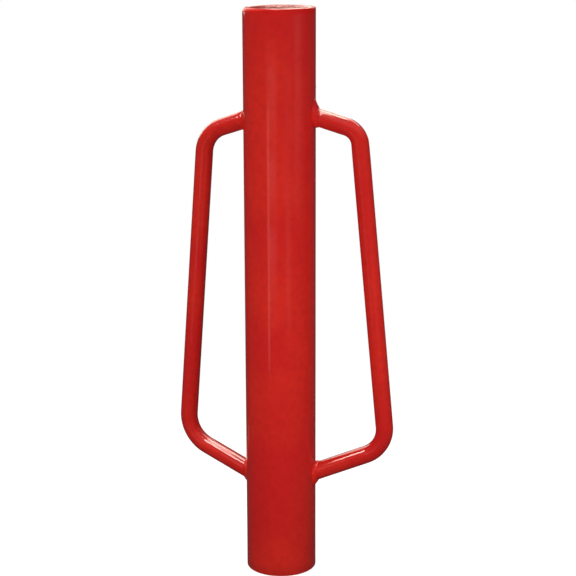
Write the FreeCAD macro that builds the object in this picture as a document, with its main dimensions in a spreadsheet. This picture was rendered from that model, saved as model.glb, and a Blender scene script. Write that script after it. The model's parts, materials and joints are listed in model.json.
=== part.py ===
import FreeCAD, Part
import Sketcher
import math
import os

"""Manual post driver: a closed steel barrel that drops over a fence post, with two bent bar handles.

The frame is in millimetres. The barrel stands along +Z, the origin is the centre of its open mouth,
and the two handles lie to -X and +X. Nothing on it moves: every piece is welded to the barrel.
"""

# alias, value, what it is; lengths in mm and angles in degrees
SIZES = [
    ("tube_outer_diameter", 76.2, "3 in structural tube"),
    ("tube_wall", 4.8, "3/16 in wall"),
    ("tube_length", 609.6, "24 in, square cut"),
    ("mouth_chamfer", 0.6, "deburred rim at the open mouth"),
    ("seat_step", 0.6, "the tube is bored out this much on the radius to seat the plug"),
    ("seat_relief", 3.0, "the bored seat runs this far below the plug's strike face"),
    ("plug_length", 50.8, "2 in slug of round bar, the driver's weight and anvil"),
    ("plug_proud", 4.8, "how far the plug stands above the tube's end"),
    ("plug_chamfer", 2.0, "chamfer round the strike face"),
    ("bar_diameter", 19.05, "3/4 in round bar of the handles, which are bent and welded on by hand"),
    ("left_azimuth", 174.5, "direction of the left handle about +Z, from +X"),
    ("left_upper_reach", 86.7, "its upper corner, from the barrel's axis"),
    ("left_upper_height", 480.4, "its upper corner, above the mouth"),
    ("left_upper_slope", 18.7, "its upper leg falls outwards at this angle"),
    ("left_upper_bend", 32.0, "centreline radius of its upper bend"),
    ("left_lower_reach", 114.5, "its lower corner, from the barrel's axis"),
    ("left_lower_height", 136.9, "its lower corner, above the mouth"),
    ("left_lower_slope", -23.0, "its lower leg rises outwards at this angle"),
    ("left_lower_bend", 36.4, "centreline radius of its lower bend"),
    ("right_azimuth", 5.5, "direction of the right handle about +Z, from +X"),
    ("right_upper_reach", 84.6, "its upper corner, from the barrel's axis"),
    ("right_upper_height", 488.4, "its upper corner, above the mouth"),
    ("right_upper_slope", 16.8, "its upper leg falls outwards at this angle"),
    ("right_upper_bend", 21.0, "centreline radius of its upper bend"),
    ("right_lower_reach", 116.9, "its lower corner, from the barrel's axis"),
    ("right_lower_height", 144.4, "its lower corner, above the mouth"),
    ("right_lower_slope", -23.0, "its lower leg rises outwards at this angle"),
    ("right_lower_bend", 32.5, "centreline radius of its lower bend"),
    ("cap_round", 1.5, "radius of the cap weld's outer shoulder"),
    ("bead_throw", 5.0, "how far a handle weld covers the bar, from the barrel's side"),
    ("bead_lip", 0.8, "thickness of the handle weld where it ends on the bar"),
    ("upper_flare", 30.0, "half angle of an upper handle weld's cone"),
    ("lower_flare", 20.0, "half angle of a lower handle weld's cone"),
    ("bead_root", 16.0, "length of the weld's cone, which starts inside the barrel"),
]

doc = FreeCAD.newDocument("post_driver")


def make_sheet():
    """Write the driving dimensions into a spreadsheet, one aliased cell each."""
    sheet = doc.addObject("Spreadsheet::Sheet", "Sizes")
    for row, (alias, value, meaning) in enumerate(SIZES, start=1):
        sheet.set(f"A{row}", alias)
        sheet.set(f"B{row}", str(value))
        sheet.setAlias(f"B{row}", alias)
        sheet.set(f"C{row}", meaning)
    doc.recompute()
    return sheet


def size(alias):
    """The number in one aliased cell, for a sketch's first shape."""
    return float(sheet.get(alias))


def make_body(label):
    body = doc.addObject("PartDesign::Body", label)
    body.Label = label
    return body


def make_sketch(body, name, plane):
    """A sketch lying on one of its own body's origin planes."""
    sketch = body.newObject("Sketcher::SketchObject", name)
    origin_plane = next(f for f in body.Origin.OriginFeatures if f.Role == plane)
    sketch.AttachmentSupport = [(origin_plane, "")]
    sketch.MapMode = "FlatFace"
    return sketch


def bind(sketch, name, constraint, expression):
    """Add a named sketch constraint and bind it to an expression in the sheet's values."""
    sketch.addConstraint(constraint)
    sketch.renameConstraint(sketch.ConstraintCount - 1, name)
    sketch.setExpression(f"Constraints.{name}", expression)


def draw_circle(sketch, radius, expression):
    """A circle about the sketch's origin."""
    circle = sketch.addGeometry(Part.Circle(FreeCAD.Vector(), FreeCAD.Vector(0, 0, 1), radius))
    sketch.addConstraint(Sketcher.Constraint("Coincident", circle, 3, -1, 1))
    bind(sketch, f"radius_{circle}", Sketcher.Constraint("Radius", circle, radius), expression)


def draw_outline(sketch, points):
    """A closed outline of straight lines.

    Each point is (name, x, y, x expression, y expression), with x and y only as a first guess.
    """
    for first, second in zip(points, points[1:] + points[:1]):
        start = FreeCAD.Vector(first[1], first[2])
        end = FreeCAD.Vector(second[1], second[2])
        sketch.addGeometry(Part.LineSegment(start, end))
    for line, (name, x, y, x_expression, y_expression) in enumerate(points):
        previous = (line - 1) % len(points)
        sketch.addConstraint(Sketcher.Constraint("Coincident", previous, 2, line, 1))
        bind(sketch, f"{name}_x", Sketcher.Constraint("DistanceX", -1, 1, line, 1, x), x_expression)
        bind(sketch, f"{name}_y", Sketcher.Constraint("DistanceY", -1, 1, line, 1, y), y_expression)


def add_feature(body, kind, name, profile):
    """A feature that works on a sketch, which it then hides inside itself."""
    feature = body.newObject(f"PartDesign::{kind}", name)
    feature.Profile = profile
    return feature


def revolve(body, profile):
    """Turn a half outline once round the barrel's axis."""
    solid = add_feature(body, "Revolution", f"{body.Label}_revolution", profile)
    solid.ReferenceAxis = (profile, ["V_Axis"])
    solid.Angle = 360


def arc_between(centre, radius, start, end):
    """The arc that runs anticlockwise from start to end."""
    circle = Part.Circle(centre, FreeCAD.Vector(0, 0, 1), radius)
    angles = [math.atan2(p.y - centre.y, p.x - centre.x) for p in (start, end)]
    return Part.ArcOfCircle(circle, *angles)


def make_barrel_tube():
    """The barrel: a tube with a bored seat for the plug at its closed end."""
    body = make_body("barrel_tube")
    outer = "Sizes.tube_outer_diameter / 2"
    bore = f"({outer} - Sizes.tube_wall)"
    seat = f"({bore} + Sizes.seat_step)"
    top = "Sizes.tube_length"
    chamfer = "Sizes.mouth_chamfer"
    seat_floor = "Sizes.tube_length + Sizes.plug_proud - Sizes.plug_length - Sizes.seat_relief"
    outer_r = size("tube_outer_diameter") / 2
    bore_r = outer_r - size("tube_wall")
    seat_r = bore_r + size("seat_step")
    top_z = size("tube_length")
    rim = size("mouth_chamfer")
    floor_z = top_z - size("plug_length")
    outline = make_sketch(body, "barrel_tube_outline", "XZ_Plane")
    draw_outline(outline, [
        ("rim_inside", bore_r + rim, 0, f"{bore} + {chamfer}", "0"),
        ("rim_outside", outer_r - rim, 0, f"{outer} - {chamfer}", "0"),
        ("side_start", outer_r, rim, outer, chamfer),
        ("side_end", outer_r, top_z, outer, top),
        ("seat_start", seat_r, top_z, seat, top),
        ("seat_end", seat_r, floor_z, seat, seat_floor),
        ("bore_start", bore_r, floor_z, bore, seat_floor),
        ("bore_end", bore_r, rim, bore, chamfer),
    ])
    revolve(body, outline)


def make_anvil_plug():
    """The solid slug that closes the barrel, adds its weight and strikes the post."""
    body = make_body("anvil_plug")
    radius = "Sizes.tube_outer_diameter / 2 - Sizes.tube_wall + Sizes.seat_step"
    chamfer = "Sizes.plug_chamfer"
    face = "Sizes.tube_length + Sizes.plug_proud - Sizes.plug_length"
    top = "Sizes.tube_length + Sizes.plug_proud"
    plug_r = size("tube_outer_diameter") / 2 - size("tube_wall") + size("seat_step")
    cut = size("plug_chamfer")
    top_z = size("tube_length") + size("plug_proud")
    face_z = top_z - size("plug_length")
    outline = make_sketch(body, "anvil_plug_outline", "XZ_Plane")
    draw_outline(outline, [
        ("face_centre", 0, face_z, "0", face),
        ("face_edge", plug_r - cut, face_z, f"{radius} - {chamfer}", face),
        ("side_start", plug_r, face_z + cut, radius, f"{face} + {chamfer}"),
        ("side_end", plug_r, top_z, radius, top),
        ("top_centre", 0, top_z, "0", top),
    ])
    revolve(body, outline)


def make_cap_weld():
    """The bead in the corner between the tube's end and the side of the plug, with a dressed shoulder."""
    body = make_body("cap_weld")
    inner = "Sizes.tube_outer_diameter / 2 - Sizes.tube_wall + Sizes.seat_step"
    inner_r = size("tube_outer_diameter") / 2 - size("tube_wall") + size("seat_step")
    outer_r = size("tube_outer_diameter") / 2
    base_z = size("tube_length")
    top_z = base_z + size("plug_proud")
    shoulder_r = size("cap_round")
    corner = FreeCAD.Vector(inner_r, base_z)
    toe = FreeCAD.Vector(outer_r, base_z)
    shoulder_start = FreeCAD.Vector(outer_r, top_z - shoulder_r)
    centre = FreeCAD.Vector(outer_r - shoulder_r, top_z - shoulder_r)
    shoulder_end = FreeCAD.Vector(outer_r - shoulder_r, top_z)
    crown = FreeCAD.Vector(inner_r, top_z)
    outline = make_sketch(body, "cap_weld_outline", "XZ_Plane")
    foot = outline.addGeometry(Part.LineSegment(corner, toe))
    side = outline.addGeometry(Part.LineSegment(toe, shoulder_start))
    shoulder = outline.addGeometry(arc_between(centre, shoulder_r, shoulder_start, shoulder_end))
    top = outline.addGeometry(Part.LineSegment(shoulder_end, crown))
    root = outline.addGeometry(Part.LineSegment(crown, corner))
    for kind, first, second in (
        ("Coincident", foot, side),
        ("Tangent", side, shoulder),
        ("Tangent", shoulder, top),
        ("Coincident", top, root),
        ("Coincident", root, foot),
    ):
        outline.addConstraint(Sketcher.Constraint(kind, first, 2, second, 1))
    for kind, line in (("Horizontal", foot), ("Vertical", side), ("Horizontal", top), ("Vertical", root)):
        outline.addConstraint(Sketcher.Constraint(kind, line))
    bind(outline, "corner_x", Sketcher.Constraint("DistanceX", -1, 1, foot, 1, inner_r), inner)
    bind(outline, "corner_y", Sketcher.Constraint("DistanceY", -1, 1, foot, 1, base_z),
         "Sizes.tube_length")
    bind(outline, "width", Sketcher.Constraint("DistanceX", foot, 1, foot, 2, outer_r - inner_r),
         "Sizes.tube_wall - Sizes.seat_step")
    bind(outline, "height", Sketcher.Constraint("DistanceY", root, 2, root, 1, top_z - base_z),
         "Sizes.plug_proud")
    bind(outline, "round", Sketcher.Constraint("Radius", shoulder, shoulder_r), "Sizes.cap_round")
    revolve(body, outline)


def corner_of(side, joint):
    """The sheet's values for one corner of a handle: its reach, its height and how its leg falls outwards."""
    return [f"Sizes.{side}_{joint}_{measure}" for measure in ("reach", "height", "slope")]


def corner_guess(side, joint):
    """The same corner as a point, and the point where its leg would meet the barrel's axis."""
    reach = size(f"{side}_{joint}_reach")
    height = size(f"{side}_{joint}_height")
    slope = size(f"{side}_{joint}_slope")
    on_axis = height + reach * math.tan(math.radians(slope))
    return FreeCAD.Vector(reach, height), FreeCAD.Vector(0, on_axis)


def bend(before, corner, after, radius):
    """Where a bend starts and ends on the two runs that meet at a corner, and its centre."""
    to_before = (before - corner).normalize()
    to_after = (after - corner).normalize()
    half = to_before.getAngle(to_after) / 2
    run = radius / math.tan(half)
    centre = corner + (to_before + to_after).normalize() * (radius / math.sin(half))
    return corner + to_before * run, corner + to_after * run, centre


def draw_handle_path(sketch, side):
    """The bar's centreline: upper leg, bend, grip, bend, lower leg, from and to the barrel's axis."""
    upper, upper_root = corner_guess(side, "upper")
    lower, lower_root = corner_guess(side, "lower")
    upper_r = size(f"{side}_upper_bend")
    lower_r = size(f"{side}_lower_bend")
    leg_end, grip_start, upper_centre = bend(upper_root, upper, lower, upper_r)
    grip_end, leg_start, lower_centre = bend(upper, lower, lower_root, lower_r)
    upper_leg = sketch.addGeometry(Part.LineSegment(upper_root, leg_end))
    upper_arc = sketch.addGeometry(arc_between(upper_centre, upper_r, grip_start, leg_end))
    grip = sketch.addGeometry(Part.LineSegment(grip_start, grip_end))
    lower_arc = sketch.addGeometry(arc_between(lower_centre, lower_r, leg_start, grip_end))
    lower_leg = sketch.addGeometry(Part.LineSegment(leg_start, lower_root))
    for first, first_end, second, second_end in (
        (upper_leg, 2, upper_arc, 2),
        (upper_arc, 1, grip, 1),
        (grip, 2, lower_arc, 2),
        (lower_arc, 1, lower_leg, 1),
    ):
        sketch.addConstraint(
            Sketcher.Constraint("Tangent", first, first_end, second, second_end))
    for joint, leg, root_end, corner, root, arc, radius in (
        ("upper", upper_leg, 1, upper, upper_root, upper_arc, upper_r),
        ("lower", lower_leg, 2, lower, lower_root, lower_arc, lower_r),
    ):
        reach, height, slope = corner_of(side, joint)
        point = sketch.addGeometry(Part.Point(corner), True)
        sketch.addConstraint(Sketcher.Constraint("PointOnObject", point, 1, leg))
        sketch.addConstraint(Sketcher.Constraint("PointOnObject", point, 1, grip))
        sketch.addConstraint(Sketcher.Constraint("PointOnObject", leg, root_end, -2))
        bind(sketch, f"{joint}_reach",
             Sketcher.Constraint("DistanceX", -1, 1, point, 1, corner.x), reach)
        bind(sketch, f"{joint}_height",
             Sketcher.Constraint("DistanceY", -1, 1, point, 1, corner.y), height)
        bind(sketch, f"{joint}_root",
             Sketcher.Constraint("DistanceY", -1, 1, leg, root_end, root.y),
             f"{height} + {reach} * tan({slope})")
        bind(sketch, f"{joint}_bend",
             Sketcher.Constraint("Radius", arc, radius), f"Sizes.{side}_{joint}_bend")


def make_handle(side):
    """A bent round bar whose two ends are coped to the barrel's outside."""
    body = make_body(f"{side}_handle")
    path = make_sketch(body, f"{side}_handle_path", "XZ_Plane")
    draw_handle_path(path, side)

    reach, height, slope = corner_of(side, "upper")
    section = make_sketch(body, f"{side}_handle_section", "YZ_Plane")
    section.AttachmentOffset = FreeCAD.Placement(
        FreeCAD.Vector(), FreeCAD.Rotation(FreeCAD.Vector(1, 0, 0), size(f"{side}_upper_slope")))
    section.setExpression("AttachmentOffset.Base.y", f"{height} + {reach} * tan({slope})")
    section.setExpression("AttachmentOffset.Rotation.Angle", slope)
    draw_circle(section, size("bar_diameter") / 2, "Sizes.bar_diameter / 2")
    bar = add_feature(body, "AdditivePipe", f"{side}_handle_bar", section)
    bar.Spine = (path, [])
    doc.recompute()

    outside = make_sketch(body, f"{side}_handle_cope_outline", "XY_Plane")
    draw_circle(outside, size("tube_outer_diameter") / 2, "Sizes.tube_outer_diameter / 2")
    cope = add_feature(body, "Pocket", f"{side}_handle_cope", outside)
    cope.Type = "ThroughAll"
    cope.Midplane = True
    body.Placement.Rotation = FreeCAD.Rotation(FreeCAD.Vector(0, 0, 1), size(f"{side}_azimuth"))
    body.setExpression("Placement.Rotation.Angle", f"Sizes.{side}_azimuth")
    doc.recompute()
    if cope.Shape.Volume > bar.Shape.Volume - 1:
        raise RuntimeError(f"the cope of {body.Label} cuts nothing")


def lay_along_leg(solid, side, joint):
    """Turn a solid that stands on +Z to point outwards along a leg, from the root of its weld."""
    reach, height, slope = corner_of(side, joint)
    tip = "(Sizes.tube_outer_diameter / 2 + Sizes.bead_throw)"
    root = f"({tip} - Sizes.bead_root * cos({slope}))"
    solid.Placement.Rotation = FreeCAD.Rotation(FreeCAD.Vector(0, 1, 0), 90)
    solid.setExpression("Placement.Rotation.Angle", f"90 + {slope}")
    solid.setExpression("Placement.Base.x", root)
    solid.setExpression("Placement.Base.z", f"{height} + ({reach} - {root}) * tan({slope})")


def make_handle_weld(side, joint):
    """The fillet weld round one end of a handle: a cone about the bar, less the bar and the barrel."""
    label = f"{joint}_{side}_weld"
    cone = doc.addObject("Part::Cone", f"{label}_cone")
    tip_radius = "Sizes.bar_diameter / 2 + Sizes.bead_lip"
    cone.setExpression("Height", "Sizes.bead_root")
    cone.setExpression("Radius1", f"{tip_radius} + Sizes.bead_root * tan(Sizes.{joint}_flare)")
    cone.setExpression("Radius2", tip_radius)
    lay_along_leg(cone, side, joint)

    bar = doc.addObject("Part::Cylinder", f"{label}_bar")
    bar.setExpression("Height", "Sizes.bead_root * 2")
    bar.setExpression("Radius", "Sizes.bar_diameter / 2")
    lay_along_leg(bar, side, joint)

    barrel = doc.addObject("Part::Cylinder", f"{label}_barrel")
    barrel.setExpression("Height", "Sizes.tube_length")
    barrel.setExpression("Radius", "Sizes.tube_outer_diameter / 2")

    outside_barrel = doc.addObject("Part::Cut", f"{label}_outside_barrel")
    outside_barrel.Base = cone
    outside_barrel.Tool = barrel
    weld = doc.addObject("Part::Cut", label)
    weld.Label = label
    weld.Base = outside_barrel
    weld.Tool = bar
    weld.Placement.Rotation = FreeCAD.Rotation(FreeCAD.Vector(0, 0, 1), size(f"{side}_azimuth"))
    weld.setExpression("Placement.Rotation.Angle", f"Sizes.{side}_azimuth")


def check_document():
    """Stop if anything failed to build."""
    for thing in doc.Objects:
        if {"Invalid", "Error"} & set(thing.State):
            raise RuntimeError(f"{thing.Label} failed: {thing.State}")


def write_parts(labels):
    """Write each sub-part, once all of them are known to be sound single solids."""
    parts = [doc.getObjectsByLabel(label)[0] for label in labels]
    for part in parts:
        shape = part.Shape
        if shape.isNull() or not shape.isValid() or len(shape.Solids) != 1:
            raise RuntimeError(f"{part.Label} is not one valid solid")
    os.makedirs("parts", exist_ok=True)
    for part in parts:
        part.Shape.exportStep(os.path.join("parts", f"{part.Label}.step"))
        print(f"{part.Label}: {part.Shape.Volume / 1000:.1f} cm3")


SIDES = ("left", "right")
JOINTS = ("upper", "lower")

sheet = make_sheet()
make_barrel_tube()
make_anvil_plug()
make_cap_weld()
for side in SIDES:
    make_handle(side)
    for joint in JOINTS:
        make_handle_weld(side, joint)
doc.recompute()
check_document()
write_parts(
    ["barrel_tube", "anvil_plug", "cap_weld"]
    + [f"{side}_handle" for side in SIDES]
    + [f"{joint}_{side}_weld" for side in SIDES for joint in JOINTS])
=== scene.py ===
import json
import math
import random

import bmesh
import bpy
from mathutils import Matrix, Vector, noise


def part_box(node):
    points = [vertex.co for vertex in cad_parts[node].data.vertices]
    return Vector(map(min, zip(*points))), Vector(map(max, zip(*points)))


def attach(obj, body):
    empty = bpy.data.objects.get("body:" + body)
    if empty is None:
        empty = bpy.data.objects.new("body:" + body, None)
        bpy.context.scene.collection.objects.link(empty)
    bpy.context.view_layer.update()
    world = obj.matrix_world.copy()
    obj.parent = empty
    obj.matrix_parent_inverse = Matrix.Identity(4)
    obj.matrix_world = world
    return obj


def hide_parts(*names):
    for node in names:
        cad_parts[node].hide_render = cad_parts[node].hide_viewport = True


# ---------------------------------------------------------------- sizes, in metres

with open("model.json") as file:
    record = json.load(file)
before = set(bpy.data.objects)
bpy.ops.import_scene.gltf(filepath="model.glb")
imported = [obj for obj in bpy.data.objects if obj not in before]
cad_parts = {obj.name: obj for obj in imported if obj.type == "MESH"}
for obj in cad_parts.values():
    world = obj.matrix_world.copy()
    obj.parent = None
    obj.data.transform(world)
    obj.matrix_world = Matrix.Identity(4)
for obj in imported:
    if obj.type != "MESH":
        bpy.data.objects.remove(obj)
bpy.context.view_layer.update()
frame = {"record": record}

MM = 0.001
BODY = "root"
UP = Vector((0, 0, 1))
mounts = {mount["name"]: mount for mount in frame["record"]["mounts"]}

TUBE_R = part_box("barrel_tube")[1].x
TUBE_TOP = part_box("barrel_tube")[1].z
BORE_R = mounts["post_bore"]["dims"]["r_mm"] * MM
BORE_TOP = mounts["post_bore"]["dims"]["length_mm"] * MM
PLUG_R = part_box("anvil_plug")[1].x
PLUG_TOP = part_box("anvil_plug")[1].z
STRIKE_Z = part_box("anvil_plug")[0].z

# The handles' bars, as in the CAD model. They are bent and welded by hand, so each has its own shape.
# A side has a direction about +Z. A corner has a distance from the barrel's axis, a height, the rise of
# its leg outwards and a bend radius.
BAR_R = 9.525 * MM
AZIMUTHS = {"left": math.radians(174.5), "right": math.radians(5.5)}
CORNERS = {
    ("left", "upper"): (86.7 * MM, 480.4 * MM, math.radians(-18.7), 32.0 * MM),
    ("left", "lower"): (114.5 * MM, 136.9 * MM, math.radians(23.0), 36.4 * MM),
    ("right", "upper"): (84.6 * MM, 488.4 * MM, math.radians(-16.8), 21.0 * MM),
    ("right", "lower"): (116.9 * MM, 144.4 * MM, math.radians(23.0), 32.5 * MM),
}

# ---------------------------------------------------------------- camera, floor and light

# The camera stands off the barrel's axis and looks down at the object. Its pan and roll are slight.
CAMERA_DISTANCE = 1.655
CAMERA_HEIGHT = 0.7214
CAMERA_AZIMUTH = math.radians(18.4)
CAMERA_PITCH = math.radians(13.745)
CAMERA_PAN = math.radians(0.2875)
CAMERA_ROLL = math.radians(-0.189)
CAMERA_LENS = 99.21
SENSOR_WIDTH = 36.0

# the colour of the lights that are only mirrored
CREAM = (1.0, 0.87, 0.74)


def around(degrees, distance, height):
    """A point about the barrel's axis. Degrees counts anticlockwise about +Z from the camera's side."""
    angle = CAMERA_AZIMUTH + math.radians(degrees)
    return Vector((distance * math.sin(angle), -distance * math.cos(angle), height))


def add_object(name, data):
    made = bpy.data.objects.new(name, data)
    bpy.context.scene.collection.objects.link(made)
    return made


def make_camera():
    data = bpy.data.cameras.new("camera")
    data.lens = CAMERA_LENS
    data.sensor_width = SENSOR_WIDTH
    camera = add_object("camera", data)
    turn = (
        Matrix.Rotation(CAMERA_AZIMUTH - CAMERA_PAN, 4, "Z")
        @ Matrix.Rotation(math.pi / 2 - CAMERA_PITCH, 4, "X")
        @ Matrix.Rotation(CAMERA_ROLL, 4, "Z")
    )
    camera.matrix_world = Matrix.Translation(around(0, CAMERA_DISTANCE, CAMERA_HEIGHT)) @ turn
    bpy.context.scene.camera = camera


def add_softbox(name, place, target, width, height, radiance, mirrored=False):
    """A rectangular light facing a target. It lights the paint or, if mirrored, only shows in its gloss."""
    data = bpy.data.lights.new(name, "AREA")
    data.shape = "RECTANGLE"
    data.size = width
    data.size_y = height
    data.energy = radiance * width * height * math.pi
    light = add_object(name, data)
    light.location = place
    light.rotation_euler = (target - place).to_track_quat("-Z", "Y").to_euler()
    light.visible_camera = False
    light.visible_glossy = mirrored
    light.visible_diffuse = not mirrored
    if mirrored:
        data.color = CREAM


def make_lights():
    """Large boxes that light the paint, and others that are only mirrored in it."""
    middle = Vector((0, 0, 0.3))
    add_softbox("left_key", around(-25, 0.8, 0.3), middle, 0.4, 0.4, 7.2)
    add_softbox("right_key", around(60, 0.9, 0.48), middle, 0.4, 0.5, 4.8)
    add_softbox("front_fill", around(25, 0.8, 0.3), middle, 0.4, 0.4, 1.5)
    add_softbox("high_left", around(-80, 1.1, 1.2), middle, 0.4, 0.4, 4.3)
    add_softbox("overhead", Vector((0, -0.1, 1.6)), middle, 0.9, 0.9, 2.0)
    add_softbox("rear_fill", around(180, 1.2, 0.6), middle, 0.6, 0.6, 5.0)
    add_softbox("near_top", Vector((-0.12, -0.05, 1.0)), middle, 0.3, 0.3, 3.8)
    low = Vector((0.08, 0, 0.12))
    top = Vector((0, 0, PLUG_TOP))
    add_softbox("left_streak", around(-36, 0.85, 0.2), Vector((0, 0, 0.2)), 0.08, 0.42, 0.6, mirrored=True)
    add_softbox("right_patch", around(26, 0.85, 0.16), Vector((0, 0, 0.16)), 0.2, 0.2, 0.15, mirrored=True)
    add_softbox("back_panel", around(173, 1.2, 0.92), top, 0.36, 0.36, 5.2, mirrored=True)
    add_softbox("rear_left_panel", Vector((-0.82, 0.83, 0.95)), low, 0.9, 0.9, 2.8, mirrored=True)
    add_softbox("front_left_strip", Vector((-1.35, -1.08, 1.87)), low, 0.6, 0.35, 14.0, mirrored=True)
    add_softbox("rear_strip", Vector((0.25, 0.95, 1.45)), top, 1.2, 0.2, 8.0, mirrored=True)
    for depth in (-0.75, -0.12, 0.45):
        place = Vector((0.02, depth, 1.6))
        add_softbox("overhead_strip", place, place - UP, 0.4, 0.2, 34.0, mirrored=True)


def make_world():
    """White to the eye; for light and reflections, a pale upper half over a dark lower half."""
    world = bpy.data.worlds.new("studio")
    bpy.context.scene.world = world
    world.use_nodes = True
    nodes, links = world.node_tree.nodes, world.node_tree.links
    nodes.clear()
    output = nodes.new("ShaderNodeOutputWorld")
    mix = nodes.new("ShaderNodeMixShader")
    seen = nodes.new("ShaderNodeBackground")
    lighting = nodes.new("ShaderNodeBackground")
    path = nodes.new("ShaderNodeLightPath")
    direction = nodes.new("ShaderNodeTexCoord")
    split = nodes.new("ShaderNodeSeparateXYZ")
    ramp = nodes.new("ShaderNodeMapRange")
    seen.inputs["Color"].default_value = (1, 1, 1, 1)
    ramp.interpolation_type = "SMOOTHSTEP"
    ramp.inputs["From Min"].default_value = 0.15
    ramp.inputs["From Max"].default_value = 0.75
    ramp.inputs["To Min"].default_value = 0.06
    ramp.inputs["To Max"].default_value = 0.45
    links.new(direction.outputs["Generated"], split.inputs[0])
    links.new(split.outputs["Z"], ramp.inputs["Value"])
    links.new(ramp.outputs["Result"], lighting.inputs["Strength"])
    links.new(path.outputs["Is Camera Ray"], mix.inputs["Fac"])
    links.new(lighting.outputs[0], mix.inputs[1])
    links.new(seen.outputs[0], mix.inputs[2])
    links.new(mix.outputs[0], output.inputs["Surface"])


def make_floor():
    """A pale floor that runs out of sight, whitest far out and clear from below. It takes the object's
    shadow but throws no light back."""
    half = 30.0
    near_glow = 0.78
    near_grey = (0.4, 0.4, 0.4, 1)
    black = (0, 0, 0, 1)
    mesh = bpy.data.meshes.new("floor")
    corners = [(-half, -half, 0), (half, -half, 0), (half, half, 0), (-half, half, 0)]
    mesh.from_pydata(corners, [], [(0, 1, 2, 3)])
    floor = add_object("floor", mesh)
    floor.visible_diffuse = False
    floor.visible_glossy = False
    tree = Tree("pale_floor", surface="ShaderNodeMixShader")
    far = tree.range(tree.radius, 0.15, 0.9)
    glow = tree.nodes.new("ShaderNodeEmission")
    tree.put(glow.inputs["Strength"], tree.blend(far, near_glow, 1.0))
    diffuse = tree.nodes.new("ShaderNodeBsdfDiffuse")
    tree.put(diffuse.inputs["Color"], tree.mix(far, near_grey, black))
    lit = tree.nodes.new("ShaderNodeAddShader")
    tree.put(lit.inputs[0], glow.outputs[0])
    tree.put(lit.inputs[1], diffuse.outputs[0])
    clear = tree.nodes.new("ShaderNodeBsdfTransparent")
    facing = tree.nodes.new("ShaderNodeNewGeometry")
    tree.put(tree.shader.inputs[0], facing.outputs["Backfacing"])
    tree.put(tree.shader.inputs[1], lit.outputs[0])
    tree.put(tree.shader.inputs[2], clear.outputs[0])
    mesh.materials.append(tree.material)


# ---------------------------------------------------------------- materials


class Tree:
    """A material's node tree, with short calls for the nodes that these materials need."""

    def __init__(self, name, surface="ShaderNodeBsdfPrincipled"):
        self.material = bpy.data.materials.new(name)
        self.material.use_nodes = True
        self.nodes = self.material.node_tree.nodes
        self.links = self.material.node_tree.links
        self.nodes.clear()
        self.shader = self.nodes.new(surface)
        output = self.nodes.new("ShaderNodeOutputMaterial")
        self.links.new(self.shader.outputs[0], output.inputs["Surface"])
        self.place = self.nodes.new("ShaderNodeTexCoord").outputs["Object"]
        split = self.nodes.new("ShaderNodeSeparateXYZ")
        self.links.new(self.place, split.inputs[0])
        self.height = split.outputs["Z"]
        squares = [self.math("MULTIPLY", split.outputs[axis], split.outputs[axis]) for axis in ("X", "Y")]
        self.radius = self.math("SQRT", self.math("ADD", *squares))

    def put(self, socket, value):
        """Link a socket to another node's output, or set its constant."""
        if isinstance(value, bpy.types.NodeSocket):
            self.links.new(value, socket)
        else:
            socket.default_value = value

    def stretched(self, scale):
        """The object's coordinates, scaled along each axis."""
        mapping = self.nodes.new("ShaderNodeMapping")
        mapping.inputs["Scale"].default_value = scale
        self.links.new(self.place, mapping.inputs["Vector"])
        return mapping.outputs[0]

    def noise(self, scale, detail=2.0, rough=0.5, place=None):
        node = self.nodes.new("ShaderNodeTexNoise")
        node.inputs["Scale"].default_value = scale
        node.inputs["Detail"].default_value = detail
        node.inputs["Roughness"].default_value = rough
        self.links.new(place or self.place, node.inputs["Vector"])
        return node.outputs["Fac"]

    def range(self, value, low, high, to_low=0.0, to_high=1.0):
        """Bring a value from low..high to to_low..to_high, smoothly and clamped."""
        node = self.nodes.new("ShaderNodeMapRange")
        node.interpolation_type = "SMOOTHSTEP"
        self.put(node.inputs["Value"], value)
        node.inputs["From Min"].default_value = low
        node.inputs["From Max"].default_value = high
        node.inputs["To Min"].default_value = to_low
        node.inputs["To Max"].default_value = to_high
        return node.outputs["Result"]

    def math(self, operation, first, second=0.0):
        node = self.nodes.new("ShaderNodeMath")
        node.operation = operation
        self.put(node.inputs[0], first)
        self.put(node.inputs[1], second)
        return node.outputs[0]

    def mix(self, share, first, second):
        """A colour between two. A mix node takes colours at inputs 6 and 7 and gives one at output 2."""
        node = self.nodes.new("ShaderNodeMix")
        node.data_type = "RGBA"
        self.put(node.inputs[0], share)
        self.put(node.inputs[6], first)
        self.put(node.inputs[7], second)
        return node.outputs[2]

    def blend(self, share, first, second):
        """A number between two. A mix node takes numbers at inputs 2 and 3 and gives one at output 0."""
        node = self.nodes.new("ShaderNodeMix")
        self.put(node.inputs[0], share)
        self.put(node.inputs[2], first)
        self.put(node.inputs[3], second)
        return node.outputs[0]

    def attribute(self, name):
        node = self.nodes.new("ShaderNodeAttribute")
        node.attribute_name = name
        return node.outputs["Fac"]

    def bump(self, height, distance, strength, below=None):
        node = self.nodes.new("ShaderNodeBump")
        node.inputs["Distance"].default_value = distance
        node.inputs["Strength"].default_value = strength
        self.put(node.inputs["Height"], height)
        if below:
            self.links.new(below, node.inputs["Normal"])
        return node.outputs[0]


RED = (0.60, 0.0145, 0.0125, 1)
RED_WARM = (0.66, 0.022, 0.013, 1)
RED_DEEP = (0.47, 0.0095, 0.0105, 1)
# the red of thin paint, which also serves as painted shade along the barrel's bottom edge
RED_THIN_AND_SHADE = (0.20, 0.012, 0.010, 1)
STEEL = (0.20, 0.19, 0.18, 1)
SCALE = (0.075, 0.070, 0.068, 1)
RUST = (0.13, 0.045, 0.018, 1)
STEEL_METALLIC = 0.75
STEEL_ROUGHNESS = (0.38, 0.62)

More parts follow.
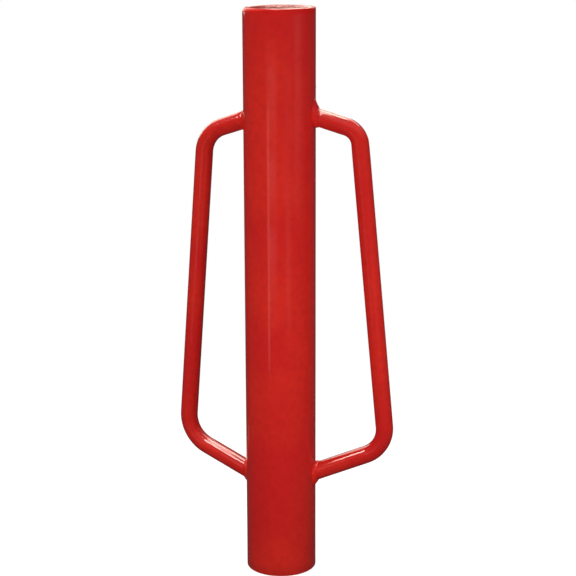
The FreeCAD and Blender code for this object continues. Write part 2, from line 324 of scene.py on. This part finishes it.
# how fine each finish's noise is, in lumps per metre
DRIFT_SCALE = 11.0
GLOSS_SCALE = 28.0
WAVE_SCALE = 55.0
RUB_SCALE = 70.0
MOTTLE_SCALE = 150.0
RUST_SCALE = 260.0
PEEL_SCALE = 330.0
CHIP_SCALE = 380.0
PIT_SCALE = 500.0
DUST_SCALE = 620.0
OVERSPRAY_SCALE = 900.0

# how deep each finish's relief is
GRAIN_DEPTH = 0.03 * MM
WAVE_DEPTH = 0.12 * MM
PEEL_DEPTH = 0.035 * MM
DUST_HEIGHT = 0.05 * MM
PAINT_THICKNESS = 0.08 * MM

# The bore is painted over up to the first height, then speckled with overspray up to the second.
PAINTED_MOUTH = 20 * MM
OVERSPRAY_REACH = 110 * MM


def enamel_colour(tree):
    """Red that drifts between passes of the spray gun, with a fine mottle, darker where the paint is thin
    and where shade is painted in along the barrel's bottom edge.
    """
    drift = tree.range(tree.noise(DRIFT_SCALE, 2.0), 0.35, 0.65)
    mottle = tree.range(tree.noise(MOTTLE_SCALE, 3.0, 0.6), 0.35, 0.75, 0.0, 0.35)
    sprayed = tree.mix(mottle, tree.mix(drift, RED, RED_WARM), RED_DEEP)
    return tree.mix(tree.attribute("thin_paint_and_shade"), sprayed, RED_THIN_AND_SHADE)


def bare_steel(tree):
    """Dark mill scale with freckles of rust and brighter rubs."""
    rust = tree.range(tree.noise(RUST_SCALE, 4.0, 0.6), 0.52, 0.66)
    rubbed = tree.range(tree.noise(RUB_SCALE, 3.0), 0.45, 0.7)
    return tree.mix(rust, tree.mix(rubbed, SCALE, STEEL), RUST)


def chipped(tree):
    """1 where a chip has gone through to the metal: where the wear attribute and the noise agree."""
    worn = tree.math("ADD", tree.noise(CHIP_SCALE, 4.0, 0.6), tree.attribute("wear"))
    return tree.range(worn, 1.0, 1.03)


def unpainted(tree):
    """1 inside the bore and on the strike face, speckled with overspray towards the mouth."""
    overspray = tree.range(tree.height, PAINTED_MOUTH, OVERSPRAY_REACH, 1.0, 0.0)
    speckled = tree.math("ADD", tree.noise(OVERSPRAY_SCALE, 3.0, 0.7), overspray)
    clear = tree.range(speckled, 0.85, 1.05, 1.0, 0.0)
    within = tree.range(tree.radius, BORE_R + 0.9 * MM, BORE_R + 1.6 * MM, 1.0, 0.0)
    below_top = tree.range(tree.height, PLUG_TOP - 4 * MM, PLUG_TOP - 3 * MM, 1.0, 0.0)
    return tree.math("MULTIPLY", tree.math("MULTIPLY", within, below_top), clear)


def painted(name, bore=False, grain=None, gloss=(0.07, 0.14), shine=1.0, wave=0.5):
    """Gloss enamel over steel, with waves, orange peel and dust in it, and chips through it.

    Bore leaves the inside of the barrel bare. Grain is the scale of lines drawn in the steel beneath.
    Gloss is the range of the paint's roughness, shine the share of a fresh paint's shine that it has, and
    wave the strength of its waves.
    """
    tree = Tree(name)
    bare = chipped(tree)
    if bore:
        bare = tree.math("MAXIMUM", bare, unpainted(tree))
    tree.put(tree.shader.inputs["Base Color"], tree.mix(bare, enamel_colour(tree), bare_steel(tree)))
    tree.put(tree.shader.inputs["Metallic"], tree.math("MULTIPLY", bare, STEEL_METALLIC))
    sheen = tree.range(tree.noise(GLOSS_SCALE, 3.0), 0.3, 0.7, *gloss)
    pitted = tree.range(tree.noise(PIT_SCALE, 3.0), 0.3, 0.7, *STEEL_ROUGHNESS)
    tree.put(tree.shader.inputs["Roughness"], tree.blend(bare, sheen, pitted))
    normal = None
    if grain:
        normal = tree.bump(tree.noise(1.0, 2.0, 0.5, tree.stretched(grain)), GRAIN_DEPTH, 0.5)
    dust = tree.range(tree.noise(DUST_SCALE, 0.0), 0.78, 0.84)
    normal = tree.bump(tree.noise(WAVE_SCALE, 1.0), WAVE_DEPTH, wave, normal)
    normal = tree.bump(tree.noise(PEEL_SCALE, 1.0), PEEL_DEPTH, 0.6, normal)
    normal = tree.bump(dust, DUST_HEIGHT, 0.8, normal)
    normal = tree.bump(tree.math("SUBTRACT", 1.0, bare), PAINT_THICKNESS, 0.7, normal)
    tree.put(tree.shader.inputs["Normal"], normal)
    tree.shader.inputs["IOR"].default_value = 1.5
    tree.shader.inputs["Specular IOR Level"].default_value = 0.5 * shine
    tree.shader.inputs["Coat Weight"].default_value = 0.35 * shine
    tree.shader.inputs["Coat Roughness"].default_value = 0.05
    return tree.material


# ---------------------------------------------------------------- mesh helpers


def smooth_step(low, high, value):
    share = min(max((value - low) / (high - low), 0.0), 1.0)
    return share * share * (3 - 2 * share)


def bell(distance, width):
    """1 at no distance, falling smoothly to nothing a few widths away."""
    return math.exp(-((distance / width) ** 2))


def lumps(point, size, seed):
    """Smooth noise from -1 to 1 in lumps of about this size."""
    return noise.noise(point / size + Vector((seed, seed * 1.7, -seed)))


def skin(rings, closed=False):
    """Vertices and faces over rings of equal length. Closed joins the last ring to the first; else both
    ends get a cap."""
    count = len(rings[0])
    vertices = [point for ring in rings for point in ring]
    faces = []
    for k in range(len(rings) if closed else len(rings) - 1):
        here = k * count
        there = (k + 1) % len(rings) * count
        for i in range(count):
            j = (i + 1) % count
            faces.append((here + i, here + j, there + j, there + i))
    if not closed:
        for ring, first in ((rings[0], 0), (rings[-1], (len(rings) - 1) * count)):
            faces += [(len(vertices), first + i, first + (i + 1) % count) for i in range(count)]
            vertices.append(sum(ring, Vector((0, 0, 0))) / count)
    return vertices, faces


def fillet(before, corner, after, radius, steps):
    """Points along the arc that rounds a corner of a flat path."""
    to_before = (before - corner).normalized()
    to_after = (after - corner).normalized()
    half = to_before.angle(to_after) / 2
    centre = corner + (to_before + to_after).normalized() * (radius / math.sin(half))
    start = corner + to_before * (radius / math.tan(half)) - centre
    side = to_before.x * to_after.y - to_before.y * to_after.x
    sweep = math.copysign(math.pi - 2 * half, -side)
    return [centre + Matrix.Rotation(sweep * i / steps, 2) @ start for i in range(steps + 1)]


def run(start, end, spacing):
    """Points strictly between two others, about this far apart."""
    count = max(math.ceil((end - start).length / spacing), 1)
    return [start.lerp(end, i / count) for i in range(1, count)]


def divided(start, end, count):
    """Both ends of a line and the points that divide it into this many equal lengths."""
    return [start.lerp(end, i / count) for i in range(count + 1)]


def rounded_outline(corners, radii, spacing, steps=5):
    """A closed flat outline with its corners rounded and its straight runs divided."""
    outline = []
    count = len(corners)
    for i, corner in enumerate(corners):
        arc = fillet(corners[i - 1], corner, corners[(i + 1) % count], radii[i], steps)
        if outline:
            outline += run(outline[-1], arc[0], spacing)
        outline += arc
    return outline + run(outline[-1], outline[0], spacing)


def lathe(outline, steps):
    """Turn an outline of (radius, height) about +Z into one ring for each of its points."""
    angles = [2 * math.pi * i / steps for i in range(steps)]
    return [[Vector((r * math.cos(a), r * math.sin(a), z)) for a in angles] for r, z in outline]


def meet_barrel(point, direction, radius):
    """Where a line that heads for the barrel first meets a cylinder of this radius about its axis."""
    a = direction.x ** 2 + direction.y ** 2
    b = point.x * direction.x + point.y * direction.y
    c = point.x ** 2 + point.y ** 2 - radius ** 2
    return point + direction * ((-b - math.sqrt(b * b - a * c)) / a)


def make_piece(name, vertices, faces, node, slot, material, wear=None, thin_paint_and_shade=None):
    """Make a mesh piece that stands for its CAD node. Wear, and thin paint with painted shade, are functions
    of a point.
    """
    mesh = bpy.data.meshes.new(name)
    mesh.from_pydata(vertices, [], faces)
    for label, measure in (("wear", wear), ("thin_paint_and_shade", thin_paint_and_shade)):
        values = [measure(v.co) if measure else 0.0 for v in mesh.vertices]
        mesh.attributes.new(label, "FLOAT", "POINT").data.foreach_set("value", values)
    work = bmesh.new()
    work.from_mesh(mesh)
    bmesh.ops.recalc_face_normals(work, faces=work.faces)
    work.to_mesh(mesh)
    work.free()
    mesh.shade_smooth()
    mesh.materials.append(material)
    piece = add_object(name, mesh)
    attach(piece, BODY)
    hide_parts(node)
    return piece


# ---------------------------------------------------------------- barrel, plug and cap weld

LATHE_STEPS = 240
RIM_ROUND = 0.8 * MM
SHARP_ROUND = 0.1 * MM
SEAM_ANGLE = math.radians(118)
SEAM_HEIGHT = 0.35 * MM
SEAM_WIDTH = 1.3 * MM
MILL_WAVE = 0.10 * MM
MILL_WAVE_LENGTH = 30 * MM
# how near the tube's outside and the bore a point counts as lying on them
OUTSIDE_SKIN = 0.7 * MM
BORE_SKIN = 0.1 * MM
MOUTH_WEAR = 0.31
# how strongly the rim's paint is darkened: thin paint, and painted shade along the bottom edge
RIM_THINNING_AND_SHADE = 0.5


def barrel_surface(point):
    """Move a point of the barrel as the tube mill left it: a little out of true outside, a seam inside."""
    radius = math.hypot(point.x, point.y)
    flat = Vector((point.x, point.y, 0)) / radius
    if radius > TUBE_R - OUTSIDE_SKIN:
        drawn_out = Vector((point.x, point.y, point.z * 0.25))
        wave = 0.5 + 0.5 * lumps(drawn_out, MILL_WAVE_LENGTH, 3)
        return point - flat * MILL_WAVE * wave
    if radius < BORE_R + BORE_SKIN:
        off_seam = (math.atan2(point.y, point.x) - SEAM_ANGLE) * BORE_R
        ridge = SEAM_HEIGHT * bell(off_seam, SEAM_WIDTH) * (1 + 0.3 * lumps(point, 9 * MM, 5))
        return point - flat * ridge
    return point


def barrel_wear(point):
    """Knocks round the outer edge of the mouth."""
    outside = smooth_step(TUBE_R - 1.2 * MM, TUBE_R - 0.3 * MM, math.hypot(point.x, point.y))
    return MOUTH_WEAR * outside * (1 - smooth_step(0.6 * MM, 2.6 * MM, point.z))


def barrel_thin_paint_and_shade(point):
    """Thin paint on the rim, and painted shade: darker along the bottom edge where the barrel meets the
    floor.
    """
    return RIM_THINNING_AND_SHADE * (1 - smooth_step(0.2 * MM, 1.3 * MM, point.z))


def make_barrel():
    spacing = 12 * MM
    corners = [
        Vector((BORE_R, 0)), Vector((TUBE_R, 0)), Vector((TUBE_R, TUBE_TOP)),
        Vector((PLUG_R, TUBE_TOP)), Vector((PLUG_R, BORE_TOP)), Vector((BORE_R, BORE_TOP)),
    ]
    outline = rounded_outline(corners, [RIM_ROUND] * 2 + [SHARP_ROUND] * 4, spacing)
    rings = [[barrel_surface(point) for point in ring] for ring in lathe(outline, LATHE_STEPS)]
    vertices, faces = skin(rings, closed=True)
    material = painted("barrel_enamel", bore=True, grain=(260, 260, 4))
    make_piece("barrel", vertices, faces, "barrel_tube", "barrel_enamel", material, barrel_wear, barrel_thin_paint_and_shade)


PLUG_STEPS = 120
PLUG_CHAMFER = 2.0 * MM
PLUG_EDGE = 0.6 * MM
PLUG_BORDER = 1.5 * MM
GROUND_DOWN = 0.12 * MM
GROUND_LUMPS = 0.06 * MM
TOP_MARK_DEPTH = 0.6 * MM
TOP_MARK_WIDTH = 1.2 * MM
TOOL_RING_HEIGHT = 0.02 * MM
TOOL_RING_PITCH = 1.1 * MM
BRUISE_DEPTH = 0.35 * MM
STRIKE_MARK_DEPTH = 0.8 * MM
STRIKE_MARK_WIDTH = 2 * MM


def plug_surface(point):
    """A nearly smooth top, ground with the weld, and a bruised strike face. Both have a centre mark."""
    radius = math.hypot(point.x, point.y)
    if radius > PLUG_R - PLUG_BORDER:
        return point
    if point.z > (STRIKE_Z + PLUG_TOP) / 2:
        ground = GROUND_LUMPS * (1 + lumps(point, 16 * MM, 8))
        return point - UP * (GROUND_DOWN + ground + TOP_MARK_DEPTH * bell(radius, TOP_MARK_WIDTH))
    rings = TOOL_RING_HEIGHT * math.sin(radius * 2 * math.pi / TOOL_RING_PITCH)
    bruise = BRUISE_DEPTH * max(lumps(point, 9 * MM, 13), 0)
    mark = STRIKE_MARK_DEPTH * bell(radius, STRIKE_MARK_WIDTH)
    return point + UP * (0.05 * MM + rings + bruise + mark)


def make_plug():
    fine = 0.4 * MM
    coarse = 20 * MM
    hub = 0.5 * MM
    corners = [
        Vector((hub, STRIKE_Z)), Vector((PLUG_R - PLUG_CHAMFER, STRIKE_Z)),
        Vector((PLUG_R, STRIKE_Z + PLUG_CHAMFER)), Vector((PLUG_R, PLUG_TOP)), Vector((hub, PLUG_TOP)),
    ]
    outline = [corners[0]]
    for before, corner, after in zip(corners, corners[1:], corners[2:]):
        arc = fillet(before, corner, after, PLUG_EDGE, 4)
        level = arc[0].y == outline[-1].y
        outline += run(outline[-1], arc[0], fine if level else coarse) + arc
    outline += run(outline[-1], corners[-1], fine) + [corners[-1]]
    rings = [[plug_surface(point) for point in ring] for ring in lathe(outline, PLUG_STEPS)]
    vertices, faces = skin(rings)
    material = painted("plug_enamel", bore=True, shine=0.35)
    make_piece("plug", vertices, faces, "anvil_plug", "plug_enamel", material)


# A weld's ripples: their length, where along it the crest is, the power of the rise to the crest, and how
# far the crest trails behind at the bead's edges. Both places are shares of the length.
RIPPLE = 2.1 * MM
RIPPLE_CREST = 0.8
RIPPLE_RISE = 1.6
RIPPLE_TRAIL = 0.55

CAP_COUNT = 1080
CAP_ROUND = 0.3 * MM
CAP_DRESSED = 3.9 * MM
CAP_RIPPLE_DEPTH = 0.12 * MM
CAP_UNEVENNESS = 0.15 * MM
CRATER_DEPTH = 0.8 * MM
CRATER_WIDTH = 2.5 * MM
# directions about +Z: where the shoulder is dressed down most, and where the weld stops in a crater
MOST_DRESSED = math.radians(198)
WELD_STOP = math.radians(-74.6)


def ripple(along, across):
    """Height, 0 to 1, of a weld's ripples: crescents that trail behind as they near the bead's edges."""
    phase = (along + RIPPLE_TRAIL * (2 * across - 1) ** 2) % 1.0
    if phase < RIPPLE_CREST:
        return (phase / RIPPLE_CREST) ** RIPPLE_RISE
    return (1 - phase) / (1 - RIPPLE_CREST)


def bezier(points, t):
    """A point on a Bezier curve."""
    while len(points) > 1:
        points = [a.lerp(b, t) for a, b in zip(points, points[1:])]
    return points[0]


def cap_weld_section(angle):
    """The closed section of the cap weld at one angle: up the tube's side, round the shoulder and in over
    the plug, then its hidden root. The shoulder is dressed off, more on one side than on the other."""
    out = Vector((math.cos(angle), math.sin(angle), 0))
    start = out * TUBE_R
    side_lap = (0.6 + 0.3 * lumps(start, 7 * MM, 21)) * MM
    top_lap = (0.8 + 0.5 * lumps(start, 6 * MM, 22)) * MM
    toe = Vector((TUBE_R - 0.04 * MM, TUBE_TOP - side_lap))
    edge = Vector((toe.x, PLUG_TOP - 0.03 * MM))
    inner = Vector((PLUG_R - top_lap, PLUG_TOP - 0.1 * MM))
    dressed = CAP_ROUND + CAP_DRESSED * max(math.cos(angle - MOST_DRESSED), 0)
    dressed += 0.1 * MM * lumps(start, 14 * MM, 24)
    shoulder = fillet(toe, edge, inner, dressed, 7)
    face = divided(toe, shoulder[0], 5) + shoulder[1:-1] + divided(shoulder[-1], inner, 5)
    ripples = round(2 * math.pi * PLUG_R / RIPPLE)
    off_stop = math.remainder(angle - WELD_STOP, 2 * math.pi) * TUBE_R
    unevenness = CAP_UNEVENNESS * (0.5 + 0.5 * lumps(start, 12 * MM, 23))
    crater = CRATER_DEPTH * bell(off_stop, CRATER_WIDTH)
    section = []
    for i, (r, z) in enumerate(face):
        t = i / (len(face) - 1)
        valley = CAP_RIPPLE_DEPTH * (1 - ripple(angle / (2 * math.pi) * ripples, t))
        sink = math.sin(math.pi * t) * (valley * (1 - t) + crater + unevenness * (1 - t))
        tilt = t * math.pi / 2
        section.append(out * (r - sink * math.cos(tilt)) + UP * (z - sink * math.sin(tilt)))
    root_r = PLUG_R - 0.6 * MM
    section.append(out * root_r + UP * (PLUG_TOP - 1.2 * MM))
    section.append(out * root_r + UP * (TUBE_TOP - 0.8 * MM))
    section.append(out * (TUBE_R - 1.2 * MM) + UP * (TUBE_TOP - 1.4 * MM))
    return section


def make_cap_weld():
    angles = [2 * math.pi * i / CAP_COUNT for i in range(CAP_COUNT)]
    vertices, faces = skin([cap_weld_section(angle) for angle in angles], closed=True)
    make_piece("cap_bead", vertices, faces, "cap_weld", "weld_enamel", painted("cap_enamel", shine=0.08))


# ---------------------------------------------------------------- handles and their welds

HANDLE_STEPS = 48
BEND_STEPS = {"upper": 22, "lower": 24}
# how much a bend flattens the bar, how much of that it spreads sideways, and how far along it does so
BEND_FLAT = 0.03
BEND_SPREAD = 0.3
BEND_REACH = 16 * MM
COPE_DEPTH = 0.4 * MM


class Bar:
    """One handle's centreline, in the upright plane through the barrel's axis at its azimuth."""

    def __init__(self, side):
        azimuth = AZIMUTHS[side]
        self.side = side
        self.out = Vector((math.cos(azimuth), math.sin(azimuth), 0))
        self.across = UP.cross(self.out)

    def point(self, flat):
        return self.out * flat.x + UP * flat.y

    def corner(self, joint):
        reach, height, _, bend = CORNERS[self.side, joint]
        return Vector((reach, height)), bend

    def leg(self, joint):
        """Where a leg's axis meets the barrel's side, and its direction outwards, both flat."""
        reach, height, slope, _ = CORNERS[self.side, joint]
        foot = Vector((TUBE_R, height - (reach - TUBE_R) * math.tan(slope)))
        return foot, Vector((math.cos(slope), math.sin(slope)))


def bar_ring(bar, centre, tangent, squeeze):
    """One round section of the bar, a little squeezed in the plane of a bend."""
    normal = Vector((-tangent.y, tangent.x))
    ring = []
    for i in range(HANDLE_STEPS):
        angle = 2 * math.pi * i / HANDLE_STEPS
        offset = bar.point(normal) * (math.cos(angle) * BAR_R * (1 - squeeze))
        offset += bar.across * (math.sin(angle) * BAR_R * (1 + BEND_SPREAD * squeeze))
        ring.append(bar.point(centre) + offset)
    return ring


def coped(bar, ring, outwards):
    """The bar's cut end: each line along it is carried on into the barrel's wall."""
    return [meet_barrel(point, -bar.point(outwards), TUBE_R - COPE_DEPTH) for point in ring]


def make_handle(side):
    bar = Bar(side)
    upper_foot, upper_out = bar.leg("upper")
    lower_foot, lower_out = bar.leg("lower")
    clear = 7 * MM
    leg_spacing = 5 * MM
    grip_spacing = 8 * MM
    start = upper_foot + upper_out * clear
    end = lower_foot + lower_out * clear
    upper, upper_bend = bar.corner("upper")
    lower, lower_bend = bar.corner("lower")
    upper_arc = fillet(start, upper, lower, upper_bend, BEND_STEPS["upper"])
    lower_arc = fillet(upper, lower, end, lower_bend, BEND_STEPS["lower"])
    path = [start] + run(start, upper_arc[0], leg_spacing) + upper_arc
    path += run(upper_arc[-1], lower_arc[0], grip_spacing) + lower_arc
    path += run(lower_arc[-1], end, leg_spacing) + [end]
    bends = [arc[len(arc) // 2] for arc in (upper_arc, lower_arc)]
    rings = []
    for i, centre in enumerate(path):
        tangent = (path[min(i + 1, len(path) - 1)] - path[max(i - 1, 0)]).normalized()
        squeeze = BEND_FLAT * sum(bell((centre - bend).length, BEND_REACH) for bend in bends)
        rings.append(bar_ring(bar, centre, tangent, squeeze))
    rings.insert(0, coped(bar, rings[0], upper_out))
    rings.append(coped(bar, rings[-1], lower_out))
    vertices, faces = skin(rings)
    make_piece(side + "_bar", vertices, faces, side + "_handle", "handle_enamel", HANDLE_ENAMEL)


BEAD_STEPS = 12
BEAD_COUNT = 300
BEAD_R = 1.25 * BAR_R
BEAD_LIP = 0.7 * MM
BEAD_HOLLOW = 0.35
BEAD_RIPPLE_HEIGHT = 0.18 * MM
BEAD_UNEVENNESS = 0.15 * MM
# Each weld: how far it reaches out from the barrel, and how far it climbs above, beside and below the bar.
BEADS = {
    ("left", "upper"): (4.2 * MM, 1.5 * MM, 1.0 * MM, 1.0 * MM),
    ("left", "lower"): (4.6 * MM, 1.0 * MM, 0.8 * MM, 4.0 * MM),
    ("right", "upper"): (4.2 * MM, 7.0 * MM, 0.8 * MM, 1.5 * MM),
    ("right", "lower"): (4.8 * MM, 1.0 * MM, 0.6 * MM, 5.5 * MM),
}


def bead_section(bar, joint, angle, seed):
    """The closed section of a handle weld at one angle about the bar, which is 0 on the bar's upper side."""
    foot, outwards = bar.leg(joint)
    reach, above, beside, below = BEADS[bar.side, joint]
    axis = bar.point(outwards)
    spoke = bar.point(Vector((-outwards.y, outwards.x))) * math.cos(angle) + bar.across * math.sin(angle)
    spot = spoke * BAR_R
    beyond = bar.point(foot) + axis * 30 * MM
    toe_r = TUBE_R + reach + 0.4 * MM * lumps(spot, 7 * MM, seed)
    climb = beside + ((above if math.cos(angle) > 0 else below) - beside) * math.cos(angle) ** 2
    climb *= 1 + 0.15 * lumps(spot, 8 * MM, seed + 1)
    lip_r = BAR_R + BEAD_LIP
    bar_toe = meet_barrel(beyond + spoke * (BAR_R - 0.1 * MM), -axis, toe_r)
    lip = meet_barrel(beyond + spoke * lip_r, -axis, toe_r - 0.2 * MM)
    corner = meet_barrel(beyond + spoke * lip_r, -axis, TUBE_R)
    tube_toe = meet_barrel(beyond + spoke * (lip_r + climb), -axis, TUBE_R - 0.1 * MM)
    hollow = lip.lerp(tube_toe, 0.5).lerp(corner, BEAD_HOLLOW)
    face_normal = (axis + spoke).normalized()
    ripples = round(2 * math.pi * BEAD_R / RIPPLE)
    section = []
    for i in range(BEAD_STEPS + 1):
        t = i / BEAD_STEPS
        height = BEAD_RIPPLE_HEIGHT * ripple(angle / (2 * math.pi) * ripples, t)
        height += BEAD_UNEVENNESS * lumps(spot + axis * t * 6 * MM, 5 * MM, seed + 2)
        window = math.sin(math.pi * t) ** 0.8
        section.append(bezier([bar_toe, lip, hollow, tube_toe], t) + face_normal * (window * height))
    root = beyond + spoke * (BAR_R - 0.5 * MM)
    section.append(meet_barrel(root, -axis, TUBE_R + 1.0 * MM))
    section.append(meet_barrel(root, -axis, TUBE_R - 0.5 * MM))
    return section


def join(first, second):
    """Two lots of vertices and faces as one."""
    vertices, faces = first
    more_vertices, more_faces = second
    moved = [tuple(i + len(vertices) for i in face) for face in more_faces]
    return vertices + more_vertices, faces + moved


DROPLETS = 9
DROPLET_STEPS = 10
# in mm: how far from a weld's middle the droplets lie, and their size
DROPLET_REACH = (16, 34)
DROPLET_SIZE = (0.25, 0.6)


def droplet(bar, foot, dice):
    """A small round drop of spatter that stuck to the barrel near a weld."""
    angle = dice.uniform(0, 2 * math.pi)
    reach = dice.uniform(*DROPLET_REACH) * MM
    size = dice.uniform(*DROPLET_SIZE) * MM
    out = Matrix.Rotation(math.cos(angle) * reach / TUBE_R, 3, "Z") @ bar.out
    side = UP.cross(out)
    centre = out * (TUBE_R - 0.15 * MM) + UP * (foot.y + math.sin(angle) * reach)
    turns = [2 * math.pi * k / DROPLET_STEPS for k in range(DROPLET_STEPS)]
    rings = []
    for degrees in (78, 55, 30, 8):
        polar = math.radians(degrees)
        rise = out * (math.cos(polar) * size * 0.8)
        wide = math.sin(polar) * size
        rings.append([centre + rise + (side * math.cos(a) + UP * math.sin(a)) * wide for a in turns])
    return skin(rings)


WELD_SEEDS = (31, 38, 45, 52)


def make_handle_weld(side, joint, seed):
    bar = Bar(side)
    foot = bar.leg(joint)[0]
    angles = [2 * math.pi * i / BEAD_COUNT for i in range(BEAD_COUNT)]
    shape = skin([bead_section(bar, joint, angle, seed) for angle in angles], closed=True)
    dice = random.Random(seed)
    for _ in range(DROPLETS):
        shape = join(shape, droplet(bar, foot, dice))
    name = f"{joint}_{side}"
    make_piece(name + "_bead", *shape, name + "_weld", "weld_enamel", WELD_ENAMEL)


# ---------------------------------------------------------------- the scene

make_camera()
make_lights()
make_world()
make_floor()
bpy.context.scene.view_settings.view_transform = "Standard"

HANDLE_ENAMEL = painted("handle_enamel", gloss=(0.03, 0.08), wave=0.15)
WELD_ENAMEL = painted("weld_enamel", gloss=(0.2, 0.35), shine=0.3)

make_barrel()
make_plug()
make_cap_weld()
for side in AZIMUTHS:
    make_handle(side)
for seed, (side, joint) in zip(WELD_SEEDS, CORNERS):
    make_handle_weld(side, joint, seed)
